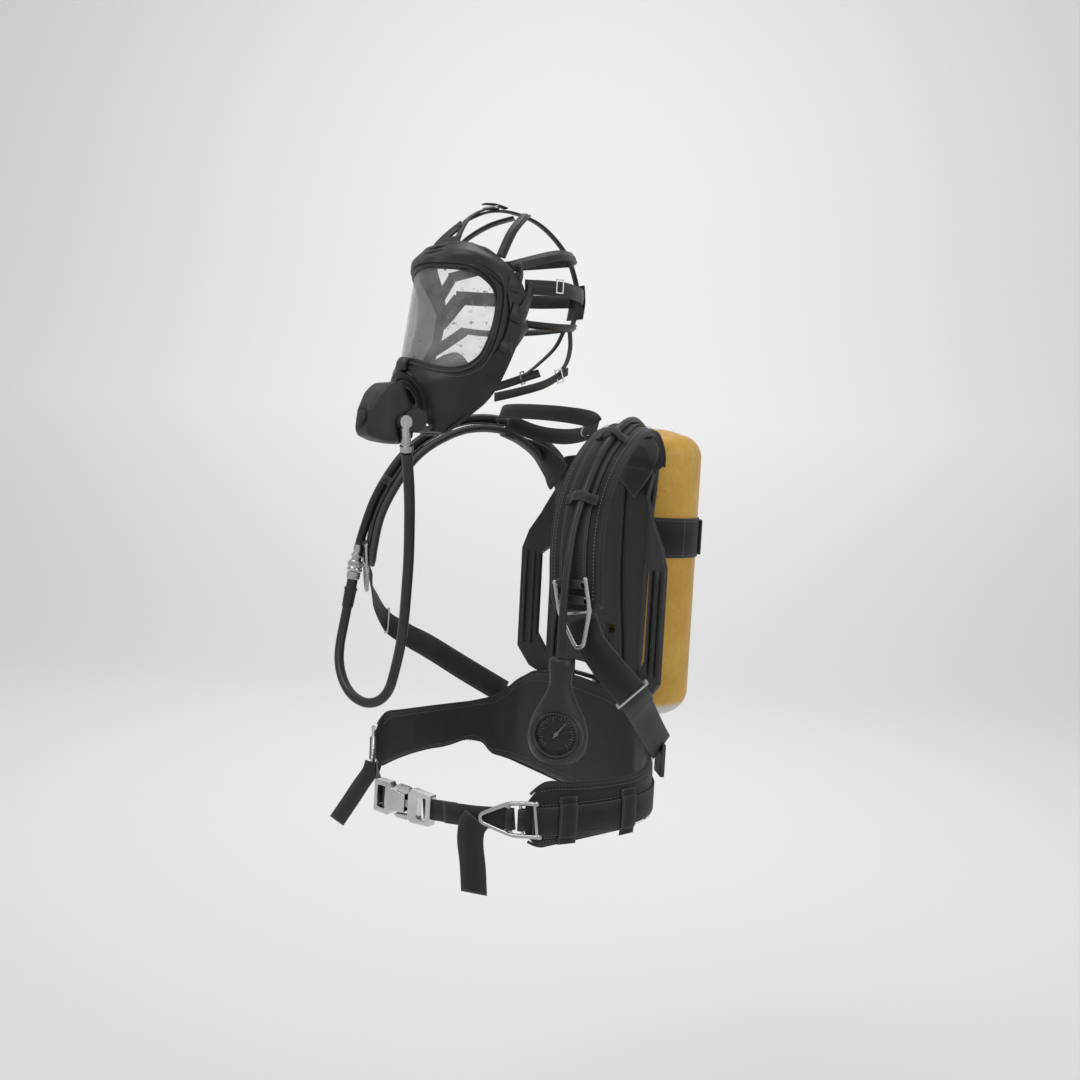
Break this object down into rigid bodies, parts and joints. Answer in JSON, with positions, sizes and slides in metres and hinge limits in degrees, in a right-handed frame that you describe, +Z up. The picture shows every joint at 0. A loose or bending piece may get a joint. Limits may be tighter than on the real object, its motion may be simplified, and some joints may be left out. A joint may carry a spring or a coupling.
{
  "type": "breathing apparatus",
  "caption": "Self-contained breathing apparatus: steel air cylinder on a moulded backplate with padded harness, gauge, air hoses, demand valve and full face mask.",
  "frame": {"origin": "centre of the flat face that lies against the wearer's back, level with the shoulders of the plate's two side handles", "axes": "+Z up along the wearer's back, -Y the way the wearer faces, +X the wearer's left"},
  "size_m": [0.5756, 0.5579, 0.8368],
  "materials": {
    "plate_plastic": "matte, fine grain",
    "cylinder_paint": "weathered gloss",
    "rubber_black": "satin",
    "hose_rubber": "smooth satin",
    "valve_metal": "satin nickel",
    "satin_steel": "satin",
    "polished_steel": "polished",
    "pad_cloth": "woven cover over foam",
    "webbing": "woven webbing",
    "visor_clear": "smoke-dimmed clear plastic",
    "gauge_glass": "clear",
    "dial_face": "black dial, pale marks",
    "needle_paint": "matte pale paint"
  },
  "bodies": {
    "harness": {"air_cylinder": "cylinder_paint", "backplate": "plate_plastic", "band_lever_pin": "satin_steel", "buckle_female": "polished_steel", "burst_disc_plug": "valve_metal", "carry_loop": "webbing", "coupling_socket": "satin_steel", "cylinder_band": "webbing", "cylinder_saddles": "rubber_black", "cylinder_valve_body": "valve_metal", "gauge_hose_free": "hose_rubber", "gauge_hose_held": "hose_rubber", "hose_keepers": "webbing", "lower_webbing": "webbing", "pressure_hose": "hose_rubber", "pressure_reducer": "valve_metal", "reducer_bracket": "plate_plastic", "relief_valve": "valve_metal", "shoulder_pad_left": "pad_cloth", "shoulder_pad_right": "pad_cloth", "shoulder_triangle_left": "satin_steel", "shoulder_triangle_right": "satin_steel", "shoulder_webbing": "webbing", "strap_slides": "satin_steel", "waist_loops": "webbing", "waist_pad": "pad_cloth", "waist_webbing": "webbing", "webbing_anchors": "plate_plastic"},
    "band_lever": {"band_lever": "plate_plastic"},
    "valve_handwheel": {"valve_handwheel": "rubber_black"},
    "reducer_handwheel": {"reducer_handwheel": "plate_plastic"},
    "belt_triangle_left": {"belt_triangle_left": "satin_steel", "belt_tail_left": "webbing"},
    "belt_triangle_right": {"belt_triangle_right": "satin_steel", "belt_tail_right": "webbing"},
    "buckle_male": {"buckle_male": "polished_steel", "front_webbing": "webbing"},
    "buckle_tab_upper": {"buckle_tab_upper": "polished_steel"},
    "buckle_tab_lower": {"buckle_tab_lower": "polished_steel"},
    "coupling_sleeve": {"coupling_sleeve": "satin_steel"},
    "airline": {"coupling_plug": "satin_steel", "coupling_boot": "rubber_black", "demand_hose": "hose_rubber", "demand_valve": "plate_plastic", "demand_elbow": "satin_steel", "side_cap": "plate_plastic"},
    "mask": {"visor": "visor_clear", "visor_frame": "plate_plastic", "facepiece": "rubber_black", "nose_cup": "rubber_black", "mask_port": "plate_plastic", "head_harness": "rubber_black", "harness_buckles": "satin_steel", "neck_strap": "rubber_black"},
    "demand_button": {"demand_button": "rubber_black"},
    "gauge_head": {"gauge_boot": "rubber_black", "gauge_case": "satin_steel", "gauge_dial": "dial_face", "gauge_lens": "gauge_glass"},
    "gauge_needle": {"gauge_needle": "needle_paint"}
  },
  "joints": [
    {"name": "band_lever_swing", "type": "hinge", "parent": "harness", "child": "band_lever", "pos_m": [0.02342, 0.18309, 0.033], "axis": [0, 0, 1], "range_deg": [0, 110]},
    {"name": "cylinder_valve_turn", "type": "hinge", "parent": "harness", "child": "valve_handwheel", "pos_m": [-0.04, 0.111, -0.262], "axis": [1, 0, 0], "range_deg": [0, 720]},
    {"name": "reducer_nut_turn", "type": "hinge", "parent": "harness", "child": "reducer_handwheel", "pos_m": [0, 0.058, -0.262], "axis": [0, 1, 0], "range_deg": [0, 720]},
    {"name": "belt_triangle_left_swing", "type": "hinge", "parent": "harness", "child": "belt_triangle_left", "pos_m": [0.1766, -0.2325, -0.2816], "axis": [0, 0, 1], "range_deg": [0, 25]},
    {"name": "belt_triangle_right_swing", "type": "hinge", "parent": "harness", "child": "belt_triangle_right", "pos_m": [-0.1766, -0.2325, -0.2816], "axis": [0, 0, -1], "range_deg": [0, 25]},
    {"name": "front_buckle_draw", "type": "slide", "parent": "harness", "child": "buckle_male", "axis": [0.9531, 0.302, -0.02], "range_m": [0, 0.022]},
    {"name": "buckle_tab_upper_press", "type": "slide", "parent": "buckle_male", "child": "buckle_tab_upper", "axis": [-0.019, -0.006, -0.9998], "range_m": [0, 0.002], "stiffness_N_per_m": 900, "springref_m": -0.002},
    {"name": "buckle_tab_lower_press", "type": "slide", "parent": "buckle_male", "child": "buckle_tab_lower", "axis": [0.019, 0.006, 0.9998], "range_m": [0, 0.002], "stiffness_N_per_m": 900, "springref_m": -0.002},
    {"name": "coupling_sleeve_back", "type": "slide", "parent": "harness", "child": "coupling_sleeve", "axis": [0, 0.1692, 0.9856], "range_m": [0, 0.004], "stiffness_N_per_m": 800, "springref_m": -0.002},
    {"name": "coupling_draw", "type": "slide", "parent": "harness", "child": "airline", "axis": [0, -0.1692, -0.9856], "range_m": [0, 0.02]},
    {"name": "mask_draw", "type": "slide", "parent": "airline", "child": "mask", "axis": [0, 0.8601, 0.5101], "range_m": [0, 0.03]},
    {"name": "demand_button_press", "type": "slide", "parent": "airline", "child": "demand_button", "axis": [0, 0.9794, -0.2021], "range_m": [0, 0.003], "stiffness_N_per_m": 700, "springref_m": -0.001},
    {"name": "gauge_turn", "type": "hinge", "parent": "harness", "child": "gauge_head", "pos_m": [0.236, -0.239, -0.078], "axis": [0, 0, 1], "range_deg": [-90, 90]},
    {"name": "gauge_needle_turn", "type": "hinge", "parent": "gauge_head", "child": "gauge_needle", "pos_m": [0.236, -0.237, -0.164], "axis": [-0.6157, 0.788, 0], "range_deg": [0, 270]}
  ]
}
